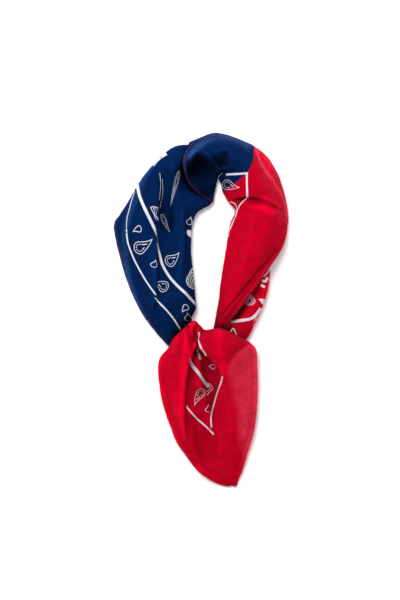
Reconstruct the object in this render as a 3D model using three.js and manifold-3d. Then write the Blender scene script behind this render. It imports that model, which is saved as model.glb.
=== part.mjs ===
// A square cotton bandana, half navy and half red along one diagonal, rolled cornerwise,
// tied into a loop and laid flat. Millimetres, +Z up, origin at the middle of the footprint
// on the surface it lies on, +Y from the knot towards the crown of the loop.
// Each stretch of cloth that shows is a wall lofted through hand-set cross sections.
import * as THREE from "three";
import { mergeVertices } from "three/addons/utils/BufferGeometryUtils.js";
import Module from "manifold-3d";

const wasm = await Module();
wasm.setup();

// Driving sizes
const CLOTH = 1.2; // wall of the visible layers
const GAP = 0.3; // clearance between neighbouring pieces
const REST = CLOTH / 2; // height of a layer's middle where it lies on the surface
const CURL = 1.6; // how far a hem that is clear of the surface curls under
const LAYER = 3.5; // height of one step of the hidden layers inside a stretch
const SLACK = 1.2; // room between a wall and the hidden solid inside it, and between their ends
const SET_IN = 1.3; // how much further in each step of the hidden layers starts
const SLIVER = 0.03; // edges shorter than this are left out where solids are cut
const FINE = { steps: 2, cuts: 3 }; // rings for each row of a table, points for each span
const COARSE = { steps: 1, cuts: 2 };

// One row for each cross section, from edge a to edge b. ax, ay, bx, by: where the edges lie.
// tuckA, tuckB: how far the cloth turns under there, or runs on flat where it is less than 0.
// highA, highB: the edges' height.
// at1..at3 and high1..high3: three places along the section and the height there.
// bow: how far the middle of the section is pushed forward, at right angles to it.
const COLUMNS = ["ax", "ay", "bx", "by", "tuckA", "highA", "at1", "high1",
  "at2", "high2", "at3", "high3", "highB", "tuckB", "bow"];

// Navy stretch on the left, from under the crown down into the knot; a is the outer edge.
const LEFT = [
  [2, 147, 10, 104, 4, 4.0, 0.22, 6.5, 0.58, 3.6, 0.84, 4.0, 3.0, 4, 0],
  [-10, 148, 8.6, 95.8, 7, 5.0, 0.20, 12.0, 0.58, 5.4, 0.84, 7.5, 4.0, 6, 0],
  [-24, 146, 1.5, 91.4, 12, 6.0, 0.20, 14.5, 0.57, 6.0, 0.83, 8.5, 4.2, 10, 0],
  [-37, 136, -4.5, 87, 14, 6.0, 0.22, 15.5, 0.57, 6.6, 0.83, 9.2, 4.4, 12, 0],
  [-50, 121, -8, 79, 14, 5.6, 0.26, 15.0, 0.59, 7.4, 0.84, 9.8, 4.6, 14, 0],
  [-61, 104, -9, 72, 10, 4.4, 0.30, 14.2, 0.60, 8.4, 0.84, 10.4, 4.8, 15, 0],
  [-72, 86, -9.5, 64, 5, 2.6, 0.34, 13.4, 0.62, 9.2, 0.84, 11.0, 5.0, 16, 0],
  [-77.3, 74, -9.5, 54, 2, 1.8, 0.38, 13.2, 0.64, 9.8, 0.84, 11.4, 5.0, 16, 0],
  [-71, 45, -8, 38, 2, 1.8, 0.40, 13.6, 0.64, 10.6, 0.84, 11.8, 5.0, 16, 0],
  [-62, 18, -6, 16, 2, 1.8, 0.38, 13.4, 0.62, 11.0, 0.84, 11.8, 5.0, 14, 0],
  [-51, -4, -5, 2, 2, 1.9, 0.34, 12.6, 0.60, 11.2, 0.84, 11.4, 4.6, 10, 0],
  [-40, -19, -10, -8, 2, 2.2, 0.30, 11.4, 0.56, 10.6, 0.82, 10.2, 4.0, 6, 0],
  [-29, -31, -14, -18, 2, 2.4, 0.28, 9.0, 0.54, 8.6, 0.78, 8.0, 3.4, 3, 0],
  [-20, -39, -6, -26, 2, 2.4, 0.28, 7.0, 0.54, 6.6, 0.78, 6.2, 3.0, 2, 0],
];

// Crown and right stretch: one run of cloth from the open mouth of the roll on the left,
// over the top and down to the knot; a is the outer, hemmed edge and b faces the hole.
const CROWN = [
  [-10, 150, 9.5, 96.5, 2, 3.0, 0.28, 17.0, 0.60, 11.5, 0.86, 9.0, 3.0, 2, -15],
  [-1, 154, 10.5, 100, 2, 3.0, 0.22, 20.0, 0.48, 6.8, 0.82, 6.4, 3.2, 2, -9],
  [10, 157.6, 12.5, 109, 2, 2.8, 0.38, 23.0, 0.64, 8.0, 0.84, 7.2, 3.4, 3, -4],
  [21, 156.6, 15, 119, 2, 2.6, 0.40, 23.0, 0.70, 13.5, 0.88, 9.4, 3.8, 4, 1],
  [34, 152.6, 18, 113.5, 2, 2.6, 0.36, 22.5, 0.66, 17.0, 0.86, 11.6, 4.0, 6, 4],
  [47, 146.5, 20, 106, 2, 2.6, 0.34, 21.5, 0.62, 18.5, 0.84, 12.8, 4.2, 8, 7],
];
const RIGHT = [
  [47, 146.5, 20, 106, 2, 2.6, 0.34, 21.5, 0.62, 18.5, 0.84, 12.8, 4.2, 8, 7],
  [58.5, 137, 25, 97, 2, 2.4, 0.34, 20.5, 0.62, 18.5, 0.84, 13.4, 4.4, 10, 4],
  [66.5, 125, 30, 92, 2, 2.4, 0.34, 19.5, 0.60, 18.5, 0.82, 13.8, 4.4, 10, 2],
  [72, 111, 30, 86, 2, 2.4, 0.34, 18.0, 0.60, 16.5, 0.82, 12.8, 4.4, 11, 0],
  [76, 95, 26, 75, 2, 2.6, 0.30, 20.0, 0.56, 20.5, 0.80, 14.6, 4.6, 12, 0],
  [77.2, 80, 24, 63, 2, 3.0, 0.28, 20.5, 0.54, 22.0, 0.80, 15.6, 4.8, 13, 0],
  [74, 62, 22, 50, 2, 4.4, 0.26, 19.5, 0.54, 22.0, 0.80, 15.8, 5.0, 13, 0],
  [66, 47, 20, 36, 2, 8.4, 0.24, 17.5, 0.54, 21.0, 0.80, 15.6, 5.0, 12, 0],
  [55, 31, 18, 22, 2, 12.0, 0.24, 17.0, 0.54, 19.5, 0.80, 14.8, 5.0, 11, 0],
  [44, 15, 16.5, 10, 2, 12.5, 0.26, 16.4, 0.54, 18.0, 0.80, 13.6, 4.8, 10, 0],
  [33, 0, 14.5, -2, 2, 12.0, 0.28, 15.0, 0.54, 15.8, 0.80, 12.2, 4.6, 8, 0],
  [25, -10, 12.5, -12, 2, 10.6, 0.30, 12.6, 0.54, 12.8, 0.80, 10.0, 4.0, 5, 0],
  [21, -20, 10.5, -22, 2, 8.0, 0.30, 9.4, 0.54, 9.6, 0.80, 7.6, 3.4, 3, 0],
];

// Lower printed layer of the right stretch, which rolls out past the folded edge above it;
// a is its end inside the roll and b the outer side, where it turns under on the surface.
const UNDER = [
  [57, 60, 66, 62, -1, 3.0, 0.30, 3.6, 0.55, 3.8, 0.78, 3.6, 2.4, 3, 0],
  [46, 45, 62.5, 43, -1, 4.4, 0.30, 6.2, 0.55, 6.6, 0.80, 6.0, 3.2, 8, 0],
  [39, 29, 61, 27, -1, 5.0, 0.30, 7.8, 0.55, 9.0, 0.80, 8.0, 3.8, 16, 0],
  [33, 13, 57.5, 11, -1, 5.0, 0.30, 8.2, 0.55, 9.8, 0.80, 8.8, 4.0, 19, 0],
  [26, 0, 53, -1, -1, 4.6, 0.30, 7.6, 0.55, 10.0, 0.80, 9.0, 4.0, 20, 0],
  [20, -10, 48.5, -11, -1, 4.0, 0.30, 6.6, 0.55, 9.4, 0.80, 8.6, 3.8, 20, 0],
  [17, -20, 44, -21, -1, 3.0, 0.30, 5.2, 0.55, 8.0, 0.80, 7.4, 3.4, 18, 0],
  [14, -29, 38, -30, -1, 2.6, 0.30, 4.4, 0.55, 6.6, 0.80, 6.2, 3.0, 14, 0],
];

// Knot band and hanging corner: the band comes over the knot and opens into the red corner.
// a is the left side and b the hemmed right side; at1 is the left ridge, at2 the valley and
// at3 the swell on the right. The extra columns lift1 and lift3 push ridge and swell up the page.
const TAIL_COLUMNS = [...COLUMNS, "lift1", "lift3"];
const TAIL = [
  [-16, -15, 43, -29, 2, 10.0, 0.14, 14.0, 0.27, 8.0, 0.52, 14.0, 8.0, 2, 0, 7, 6],
  [-19, -18, 46, -32, 2, 10.5, 0.13, 22.5, 0.26, 11.5, 0.54, 24.5, 9.0, 2, 0, 7, 6],
  [-24, -25, 48, -35, 2, 10.5, 0.15, 24.0, 0.28, 12.5, 0.56, 28.0, 9.0, 2, 0, 3, 4],
  [-29, -34, 49.5, -41, 2, 6.0, 0.18, 21.0, 0.34, 12.0, 0.60, 27.5, 7.0, 2, 0, 0, 1],
  [-35.8, -42, 49.4, -49, 4, 4.0, 0.22, 17.0, 0.42, 9.0, 0.68, 24.0, 6.0, 2, 0, 0, 0],
  [-37.8, -52, 49.8, -62, 6, 4.0, 0.23, 14.6, 0.46, 6.6, 0.73, 20.5, 5.6, 2, 0, 0, 0],
  [-36.8, -68, 49.7, -78, 8, 3.8, 0.22, 13.2, 0.475, 5.4, 0.75, 18.0, 5.4, 2, 0, 0, 0],
  [-33.4, -86, 48.7, -94, 8, 3.6, 0.21, 12.2, 0.49, 5.0, 0.76, 16.0, 5.2, 2, 0, 0, 0],
  [-27.4, -104, 46.2, -110, 7, 3.4, 0.20, 10.6, 0.48, 4.8, 0.75, 13.4, 4.8, 2, 0, 0, 0],
  [-20.4, -119, 41.8, -125, 5, 3.0, 0.17, 8.4, 0.42, 4.4, 0.70, 10.6, 4.0, 2, 0, 0, 0],
  [-12.5, -131, 37.5, -139, 3, 2.4, 0.15, 5.8, 0.36, 3.8, 0.66, 7.8, 3.0, 2, 0, 0, 0],
  [-2, -144, 34, -149, 2, 1.8, 0.15, 3.8, 0.34, 3.0, 0.62, 5.2, 2.2, 2, 0, 0, 0],
  [12, -154, 32, -155, 2, 1.4, 0.20, 2.4, 0.40, 2.2, 0.62, 3.0, 1.6, 1.5, 0, 0, 0],
  [24, -157.8, 31, -158.0, 1, 0.9, 0.25, 1.2, 0.50, 1.3, 0.75, 1.3, 1.0, 0.8, 0, 0, 0],
];

// Each column of a table as a smooth function of the row number.
function rowAt(table, columns, t) {
  const last = table.length - 1;
  const i = Math.min(Math.floor(t), last - 1);
  const f = t - i;
  const pick = (k) => table[Math.max(0, Math.min(last, k))];
  const [p, q, r, s] = [pick(i - 1), pick(i), pick(i + 1), pick(i + 2)];
  const smooth = (k) =>
    q[k] + 0.5 * f * (r[k] - p[k] + f * (2 * p[k] - 5 * q[k] + 4 * r[k] - s[k]
      + f * (3 * (q[k] - r[k]) + s[k] - p[k])));
  return Object.fromEntries(columns.map((name, k) => [name, smooth(k)]));
}

// The middle line of the cloth in one cross section, from the end tucked under edge a to the
// end tucked under edge b.
function sectionCurve(row) {
  const a = new THREE.Vector3(row.ax, row.ay, 0);
  const run = new THREE.Vector3(row.bx, row.by, 0).sub(a);
  const width = run.length();
  const across = run.clone().divideScalar(width);
  const forward = new THREE.Vector3(-across.y, across.x, 0);
  const place = (s, z, lift = 0) => {
    const w = Math.min(1, Math.max(0, s / width));
    const push = row.bow * 4 * w * (1 - w) + lift;
    return a.clone().addScaledVector(across, s).addScaledVector(forward, push)
      .setZ(Math.max(z, REST));
  };
  const tuckHeight = (tuck, high) => {
    const onSurface = THREE.MathUtils.smoothstep(tuck, 2.5, 6);
    const curled = high - CURL * THREE.MathUtils.clamp(tuck / 2, 0, 1);
    return Math.max(REST, THREE.MathUtils.lerp(curled, REST, onSurface));
  };
  const [under, over] = [tuckHeight(row.tuckA, row.highA), tuckHeight(row.tuckB, row.highB)];
  return new THREE.CatmullRomCurve3([
    place(row.tuckA, under),
    place(row.tuckA * 0.45, under),
    place(0, row.highA),
    place(row.at1 * width, row.high1, row.lift1),
    place(row.at2 * width, row.high2),
    place(row.at3 * width, row.high3, row.lift3),
    place(width, row.highB),
    place(width - row.tuckB * 0.45, over),
    place(width - row.tuckB, over),
  ], false, "centripetal");
}

// Where each section is sampled, in steps of its nine guide points: one point on each turned
// under part, then a few in each of the four spans between the edges.
const EDGE_A = 2;
const SPANS = 4;
const samples = ({ cuts }) => [0, 1,
  ...Array.from({ length: SPANS * cuts + 1 }, (_, k) => EDGE_A + k / cuts), 7, 8];
const bodyOf = (grid) => grid.map((ring) => ring.slice(EDGE_A, ring.length - EDGE_A));

// A grid of points on the middle of the cloth, one list for each lofted section, in the order
// that puts the outside of the cloth on top.
function clothGrid(table, detail, columns = COLUMNS, from = 0, to = table.length - 1) {
  const rings = Math.round((to - from) * detail.steps);
  const grid = Array.from({ length: rings + 1 }, (_, j) => {
    const curve = sectionCurve(rowAt(table, columns, from + (to - from) * j / rings));
    return samples(detail).map((t) => curve.getPoint(t / 8))
      .map((p) => p.setZ(Math.max(p.z, REST)));
  });
  const middle = gridNormals(grid)[Math.round(rings / 2)][Math.round(grid[0].length / 2)];
  return middle.z > 0 ? grid : grid.reverse();
}

// Unit normals of a grid, on the side that is the outside of the cloth.
function gridNormals(grid) {
  return grid.map((ring, j) => ring.map((_, i) => {
    const along = grid[Math.min(j + 1, grid.length - 1)][i].clone()
      .sub(grid[Math.max(j - 1, 0)][i]);
    const across = ring[Math.min(i + 1, ring.length - 1)].clone().sub(ring[Math.max(i - 1, 0)]);
    return across.cross(along).normalize();
  }));
}

// A closed solid between two grids of the same size, top and bottom.
function solidBetween(top, bottom) {
  const [rings, count] = [top.length, top[0].length];
  const positions = [...top.flat(), ...bottom.flat()].flatMap((p) => [p.x, p.y, p.z]);
  const upper = (j, i) => j * count + i;
  const lower = (j, i) => rings * count + j * count + i;
  const faces = [];
  const quad = (a, b, c, d) => faces.push(a, b, c, a, c, d);
  for (let j = 0; j < rings - 1; j++) {
    for (let i = 0; i < count - 1; i++) {
      quad(upper(j, i), upper(j, i + 1), upper(j + 1, i + 1), upper(j + 1, i));
      quad(lower(j, i), lower(j + 1, i), lower(j + 1, i + 1), lower(j, i + 1));
    }
    quad(upper(j, 0), upper(j + 1, 0), lower(j + 1, 0), lower(j, 0));
    quad(upper(j, count - 1), lower(j, count - 1), lower(j + 1, count - 1), upper(j + 1, count - 1));
  }
  for (let i = 0; i < count - 1; i++) {
    quad(upper(0, i), lower(0, i), lower(0, i + 1), upper(0, i + 1));
    quad(upper(rings - 1, i), upper(rings - 1, i + 1), lower(rings - 1, i + 1), lower(rings - 1, i));
  }
  const geometry = new THREE.BufferGeometry();
  geometry.setAttribute("position", new THREE.Float32BufferAttribute(positions, 3));
  geometry.setIndex(faces);
  return geometry;
}

// Pushes the rim of a grid outwards by a clearance.
function widened(grid, by) {
  const out = grid.map((ring) => ring.map((p) => p.clone()));
  const away = (p, q) => p.clone().sub(q).setLength(by);
  const [n, m] = [grid.length - 1, grid[0].length - 1];
  for (let j = 0; j <= n; j++) {
    out[j][0].add(away(grid[j][0], grid[j][1]));
    out[j][m].add(away(grid[j][m], grid[j][m - 1]));
  }
  for (let i = 0; i <= m; i++) {
    out[0][i].add(away(grid[0][i], grid[1][i]));
    out[n][i].add(away(grid[n][i], grid[n - 1][i]));
  }
  return out;
}

// The cloth wall on a grid, flat on the surface where it lies on it. A clearance makes the
// larger solid that a neighbour is cut by.
function clothWall(grid, clearance = 0) {
  const middle = clearance ? widened(grid, clearance) : grid;
  const normals = gridNormals(grid);
  const skin = (side) => middle.map((ring, j) => ring.map((p, i) => {
    const moved = p.clone().addScaledVector(normals[j][i], side * (CLOTH / 2 + clearance));
    return moved.setZ(Math.max(moved.z, -clearance));
  }));
  return solidBetween(skin(1), skin(-1));
}

function toManifold(geometry) {
  const bare = geometry.index ? geometry.toNonIndexed() : geometry.clone();
  for (const name of Object.keys(bare.attributes)) {
    if (name !== "position") bare.deleteAttribute(name);
  }
  const merged = mergeVertices(bare, 1e-3);
  return new wasm.Manifold(new wasm.Mesh({
    numProp: 3,
    vertProperties: merged.attributes.position.array,
    triVerts: new Uint32Array(merged.index.array),
  }));
}

function toGeometry(manifold) {
  const mesh = manifold.getMesh();
  const geometry = new THREE.BufferGeometry();
  geometry.setAttribute("position", new THREE.BufferAttribute(Float32Array.from(mesh.vertProperties), 3));
  geometry.setIndex(new THREE.BufferAttribute(Uint32Array.from(mesh.triVerts), 1));
  return geometry;
}

// A solid with others cut out of it; the largest piece that is left is kept, without slivers.
function cutBy(solid, ...others) {
  const cut = others.reduce((left, other) => left.subtract(other), solid).simplify(SLIVER);
  return cut.decompose().reduce((best, piece) => (piece.volume() > best.volume() ? piece : best));
}

// Everything from the cloth down to the surface: the room that the hidden layers fill.
function roomUnder(grid, raise = 0, floor = 0) {
  const top = grid.map((ring) => ring.map((p) => p.clone().setZ(p.z + raise)));
  const bottom = top.map((ring) => ring.map((p) => p.clone().setZ(floor)));
  return toManifold(solidBetween(top, bottom));
}

// The same room with a clearance all round and the cloth itself in it.
function standing(grid, clearance) {
  const reach = CLOTH / 2 + clearance;
  return roomUnder(widened(bodyOf(grid), reach), reach, -1);
}

// The hidden layers under a stretch: steps, each set in a little from the one below it.
function hiddenLayers(grid, steps) {
  const inner = bodyOf(grid).map((ring) => ring.slice(1, ring.length - 1));
  return wasm.Manifold.union(Array.from({ length: steps }, (_, k) => {
    const layer = roomUnder(widened(inner, -SET_IN * (k + 0.5)));
    return k < steps - 1 ? layer.trimByPlane([0, 0, -1], -LAYER * (k + 1)) : layer;
  }));
}

// Rows of the tail's table where the knot ends and where the hidden navy corner ends.
const KNOT_END = 4;
const CORNER_END = 11;
const STRETCHES = {
  left: [LEFT, COLUMNS],
  crown: [CROWN, COLUMNS],
  right: [RIGHT, COLUMNS],
  under: [UNDER, COLUMNS],
  knot: [TAIL, TAIL_COLUMNS, 0, KNOT_END],
  tail: [TAIL, TAIL_COLUMNS, KNOT_END],
};

// Each stretch's wall, the wall with a clearance, and the roomier forms that the hidden solids
// are shaped by.
const walls = {};
const grown = {};
const rooms = {};
for (const [name, [table, ...rest]] of Object.entries(STRETCHES)) {
  const grid = clothGrid(table, FINE, ...rest);
  walls[name] = toManifold(clothWall(grid));
  grown[name] = toManifold(clothWall(grid, GAP)).add(walls[name]);
  const coarse = clothGrid(table, COARSE, ...rest);
  const wall = toManifold(clothWall(coarse, SLACK)).add(grown[name]);
  rooms[name] = { wall, all: standing(coarse, SLACK).add(wall), coarse };
}
const roll = [...rooms.crown.coarse, ...rooms.right.coarse.slice(1)];
const rolled = hiddenLayers(roll, 3).add(hiddenLayers(rooms.under.coarse, 2));
const corner = clothGrid(TAIL, COARSE, TAIL_COLUMNS, KNOT_END, CORNER_END);
const ends = [rooms.left.all, rooms.right.all, rooms.under.all];

const navy = { name: "navy_cotton", color: "#0d2450" };
const red = { name: "red_cotton", color: "#c00626" };
const pieces = [
  ["left_stretch", navy, cutBy(walls.left, grown.crown, grown.knot, grown.tail)],
  ["left_core", navy, cutBy(hiddenLayers(rooms.left.coarse, 3), rooms.left.wall, rooms.crown.wall,
    rooms.knot.wall, rooms.tail.wall)],
  ["crown_stretch", navy, walls.crown],
  ["right_stretch", red, cutBy(walls.right, grown.crown, grown.knot)],
  ["right_under", red, cutBy(walls.under, grown.right, grown.knot)],
  ["right_core", red, cutBy(rolled, rooms.crown.wall, rooms.right.wall, rooms.under.wall,
    rooms.knot.wall, rooms.left.all)],
  ["knot_wrap", red, walls.knot],
  ["knot_core", red, cutBy(hiddenLayers(rooms.knot.coarse, 1), rooms.knot.wall, ...ends)],
  ["tail", red, cutBy(walls.tail, grown.knot)],
  ["under_corner", navy, cutBy(hiddenLayers(corner, 3), rooms.tail.wall, rooms.knot.wall,
    ...ends)],
];

const group = new THREE.Group();
for (const [name, colour, solid] of pieces) {
  const material = new THREE.MeshStandardMaterial({ color: colour.color, roughness: 0.85 });
  material.name = colour.name;
  const mesh = new THREE.Mesh(toGeometry(solid), material);
  mesh.name = name;
  group.add(mesh);
}

export default group;
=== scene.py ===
import math

import bpy
import numpy as np
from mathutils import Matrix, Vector, noise
from mathutils.bvhtree import BVHTree
from mathutils.kdtree import KDTree
from numpy.linalg import norm


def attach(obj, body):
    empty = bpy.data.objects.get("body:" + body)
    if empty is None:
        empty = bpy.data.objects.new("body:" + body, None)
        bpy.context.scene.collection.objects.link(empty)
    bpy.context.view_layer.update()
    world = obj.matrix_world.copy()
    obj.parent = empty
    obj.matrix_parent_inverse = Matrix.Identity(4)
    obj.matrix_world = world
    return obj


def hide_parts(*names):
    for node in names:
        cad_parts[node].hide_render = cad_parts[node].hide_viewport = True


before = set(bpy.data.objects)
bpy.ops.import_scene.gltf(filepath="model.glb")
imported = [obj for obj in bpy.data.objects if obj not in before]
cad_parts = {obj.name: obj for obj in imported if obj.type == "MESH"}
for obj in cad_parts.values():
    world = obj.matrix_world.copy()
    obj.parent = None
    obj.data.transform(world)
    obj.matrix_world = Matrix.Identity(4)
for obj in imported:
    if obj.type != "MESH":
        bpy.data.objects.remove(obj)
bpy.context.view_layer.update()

# The cloth is a cotton bandana, 550 mm square, navy on one side of a diagonal and red on the other,
# rolled along the other diagonal, tied in a loop and laid flat. Sizes are in millimetres here, and
# places on the photograph are in its pixels: MM_PER_PIXEL from the pixel that the origin falls on.
MM = 0.001
MM_PER_PIXEL = 0.9
PAGE = (400, 600)
ORIGIN_PIXEL = (201, 310)
THICK = 0.5  # cotton lawn with its finish
OUT = 0.35  # the thin cloth lies in the outer half of the 1.2 mm wall of its solid
REST = 0.25  # the middle of the cloth where it lies on the surface
CURL = 1.6  # how far an edge that is barely turned under drops
STEP = 0.85  # spacing of the cloth's mesh
LAYER_GAP = 1.0  # a layer lies this far below the middle of the cloth over it
CORE_GAP, CORE_REACH = 1.4, 8.0  # and the rolled layers this far, where cloth is within reach
HEM, HEM_RISE, HEM_GROOVE = 3.2, 0.55, 0.3  # a turned hem: its width, rise and the groove beside it
CRUMPLE = 0.8  # height of the small uneven waves
OFF_FLOOR = 0.05  # the lowest that the rolled layers reach
HIGH = 100.0  # above all of the cloth

# One row for each cross section, from edge a to edge b. ax, ay, bx, by: where the edges lie.
# tuckA, tuckB: how far the cloth turns under there, or runs on flat where it is less than 0.
# highA, highB: the edges' height. at1..at3 and high1..high3: three places along the section, in
# hundredths of its width, and the height there. bow: how far the middle of the section is pushed
# forward. lift1, lift3: how far the ridge and the swell of the hanging corner are pushed up the
# page. A row that leaves out its last columns has 0 in them.
COLUMNS = ("ax", "ay", "bx", "by", "tuckA", "highA", "at1", "high1", "at2", "high2", "at3",
           "high3", "highB", "tuckB", "bow", "lift1", "lift3")

LEFT = [
    (2, 147, 10, 104, 4, 4, 22, 6.5, 58, 3.6, 84, 4, 3, 4),
    (-10, 148, 8.6, 95.8, 7, 5, 20, 12, 58, 5.4, 84, 7.5, 4, 6),
    (-24, 146, 1.5, 91.4, 12, 6, 20, 14.5, 57, 6, 83, 8.5, 4.2, 10),
    (-37, 136, -4.5, 87, 14, 6, 22, 15.5, 57, 6.6, 83, 9.2, 4.4, 12),
    (-50, 121, -8, 79, 14, 5.6, 26, 15, 59, 7.4, 84, 9.8, 4.6, 14),
    (-61, 104, -9, 72, 10, 4.4, 30, 14.2, 60, 8.4, 84, 10.4, 4.8, 15),
    (-72, 86, -9.5, 64, 5, 2.6, 34, 13.4, 62, 9.2, 84, 11, 5, 16),
    (-77.3, 74, -9.5, 54, 2, 1.8, 38, 13.2, 64, 9.8, 84, 11.4, 5, 16),
    (-71, 45, -8, 38, 2, 1.8, 40, 13.6, 64, 10.6, 84, 11.8, 5, 16),
    (-62, 18, -6, 16, 2, 1.8, 38, 13.4, 62, 11, 84, 11.8, 5, 14),
    (-51, -4, -5, 2, 2, 1.9, 34, 12.6, 60, 11.2, 84, 11.4, 4.6, 10),
    (-40, -19, -10, -8, 2, 2.2, 30, 11.4, 56, 10.6, 82, 10.2, 4, 6),
    (-29, -31, -14, -18, 2, 2.4, 28, 9, 54, 8.6, 78, 8, 3.4, 3),
    (-20, -39, -6, -26, 2, 2.4, 28, 7, 54, 6.6, 78, 6.2, 3, 2),
]
CROWN_AND_RIGHT = [
    (-10, 150, 9.5, 96.5, 2, 3, 28, 17, 60, 11.5, 86, 9, 3, 2, -15),
    (-1, 154, 10.5, 100, 2, 3, 22, 20, 48, 6.8, 82, 6.4, 3.2, 2, -9),
    (10, 157.6, 12.5, 109, 2, 2.8, 38, 23, 64, 8, 84, 7.2, 3.4, 3, -4),
    (21, 156.6, 15, 119, 2, 2.6, 40, 23, 70, 13.5, 88, 9.4, 3.8, 4, 1),
    (34, 152.6, 18, 113.5, 2, 2.6, 36, 22.5, 66, 17, 86, 11.6, 4, 6, 4),
    (47, 146.5, 20, 106, 2, 2.6, 34, 21.5, 62, 18.5, 84, 12.8, 4.2, 8, 7),
    (58.5, 137, 25, 97, 2, 2.4, 34, 20.5, 62, 18.5, 84, 13.4, 4.4, 10, 4),
    (66.5, 125, 30, 92, 2, 2.4, 34, 19.5, 60, 18.5, 82, 13.8, 4.4, 10, 2),
    (72, 111, 30, 86, 2, 2.4, 34, 18, 60, 16.5, 82, 12.8, 4.4, 11),
    (76, 95, 26, 75, 2, 2.6, 30, 20, 56, 20.5, 80, 14.6, 4.6, 12),
    (77.2, 80, 24, 63, 2, 3, 28, 20.5, 54, 22, 80, 15.6, 4.8, 13),
    (74, 62, 22, 50, 2, 4.4, 26, 19.5, 54, 22, 80, 15.8, 5, 13),
    (66, 47, 20, 36, 2, 8.4, 24, 17.5, 54, 21, 80, 15.6, 5, 12),
    (55, 31, 18, 22, 2, 12, 24, 17, 54, 19.5, 80, 14.8, 5, 11),
    (44, 15, 16.5, 10, 2, 12.5, 26, 16.4, 54, 18, 80, 13.6, 4.8, 10),
    (33, 0, 14.5, -2, 2, 12, 28, 15, 54, 15.8, 80, 12.2, 4.6, 8),
    (25, -10, 12.5, -12, 2, 10.6, 30, 12.6, 54, 12.8, 80, 10, 4, 5),
    (21, -20, 10.5, -22, 2, 8, 30, 9.4, 54, 9.6, 80, 7.6, 3.4, 3),
]
UNDER = [
    (57, 60, 66, 62, -1, 3, 30, 3.6, 55, 3.8, 78, 3.6, 2.4, 3),
    (46, 45, 62.5, 43, -1, 4.4, 30, 6.2, 55, 6.6, 80, 6, 3.2, 8),
    (39, 29, 61, 27, -1, 5, 30, 7.8, 55, 9, 80, 8, 3.8, 16),
    (33, 13, 57.5, 11, -1, 5, 30, 8.2, 55, 9.8, 80, 8.8, 4, 19),
    (26, 0, 53, -1, -1, 4.6, 30, 7.6, 55, 10, 80, 9, 4, 20),
    (20, -10, 48.5, -11, -1, 4, 30, 7.8, 55, 9.6, 80, 8.6, 3.8, 20),
    (17, -20, 44, -21, -1, 3.6, 30, 7, 55, 8.6, 80, 7.4, 3.4, 18),
    (14, -29, 38, -30, -1, 3.2, 30, 6, 55, 7.2, 80, 6.2, 3, 14),
]
TAIL = [
    (-14, -15, 43, -29, 2, 10, 12, 14, 27, 9, 52, 14, 8, 2, 0, 7, 6),
    (-16.5, -18, 46, -32, 2, 10.5, 11, 22.5, 26, 13.5, 54, 24.5, 9, 2, 0, 7, 6),
    (-24, -25, 48, -35, 2, 10.5, 15, 24, 28, 12.5, 56, 28, 9, 2, 0, 3, 4),
    (-29, -34, 49.5, -41, 2, 6, 18, 21, 34, 12, 60, 27.5, 7, 2, 0, 0, 1),
    (-35.8, -42, 49.4, -49, 4, 4, 22, 17, 42, 9, 68, 24, 6, 2),
    (-37.8, -52, 49.8, -62, 6, 4, 23, 14.6, 46, 6.6, 73, 20.5, 5.6, 2),
    (-36.8, -68, 49.7, -78, 8, 3.8, 22, 13.2, 47.5, 5.4, 75, 18, 5.4, 2),
    (-33.4, -86, 48.7, -94, 8, 3.6, 21, 12.2, 49, 5, 76, 16, 5.2, 2),
    (-27.4, -104, 46.2, -110, 7, 3.4, 20, 10.6, 48, 4.8, 75, 13.4, 4.8, 2),
    (-20.4, -119, 41.8, -125, 5, 3, 17, 8.4, 42, 4.4, 70, 10.6, 4, 2),
    (-12.5, -131, 37.5, -139, 3, 2.4, 15, 5.8, 36, 3.8, 66, 7.8, 3, 2),
    (-2, -144, 34, -149, 2, 1.8, 15, 3.8, 34, 3, 62, 5.2, 2.2, 2),
    (12, -154, 32, -155, 2, 1.4, 20, 2.4, 40, 2.2, 62, 3, 1.6, 1.5),
    (24, -157.8, 31, -158, 1, 0.9, 25, 1.2, 50, 1.3, 75, 1.3, 1, 0.8),
]

# Folds, listed one by one. left, right: how far the fold reaches to each side of its line, so a
# short reach makes a sharp step. high: its height, below 0 for a trough. line: its run. lean: how
# far its crest hangs over towards the line's left, if it does.
FOLD_COLUMNS = ("left", "right", "high", "line", "lean")
LEFT_FOLDS = [
    (1, 9, 3.2, [(153.5, 222), (155, 236), (155.5, 262), (155.5, 282), (154.5, 300), (151, 318)], 1),
    (3, 1.4, 1.4, [(124, 246), (128, 270), (134, 290), (144, 310), (154, 321), (162, 331), (167, 341)]),
    (6, 6, -3.6, [(170, 166), (165, 176), (163, 188), (164, 202), (166, 218), (168, 240)]),
    (6, 3.4, 1.8, [(175, 160), (172, 180), (173, 200), (175, 218), (176, 244)]),
    (3, 3, 1.6, [(182, 178), (180, 195), (182, 212), (183, 235), (181, 262), (176, 290)]),
    (2, 2, 1, [(146, 163), (139, 183), (133, 197), (129, 210), (126, 232)]),
    (3, 4, -2.2, [(188, 206), (189, 240), (190, 262), (190, 284)]),
    (10, 10, -1.2, [(176, 158), (173, 180), (175, 210), (176, 245), (178, 285)]),
    (5, 5, 1.2, [(146, 205), (144, 225), (146, 250), (150, 270)]),
    (2.5, 2.5, -1.3, [(128, 300), (138, 312), (150, 330), (160, 342)]),
    (4, 4, -1.4, [(150, 190), (152, 205), (151, 220)]),
    (3, 5, 1.2, [(160, 312), (168, 300), (178, 296), (188, 300)]),
    (3, 3, -1, [(174, 306), (180, 318), (182, 330)]),
]
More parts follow.
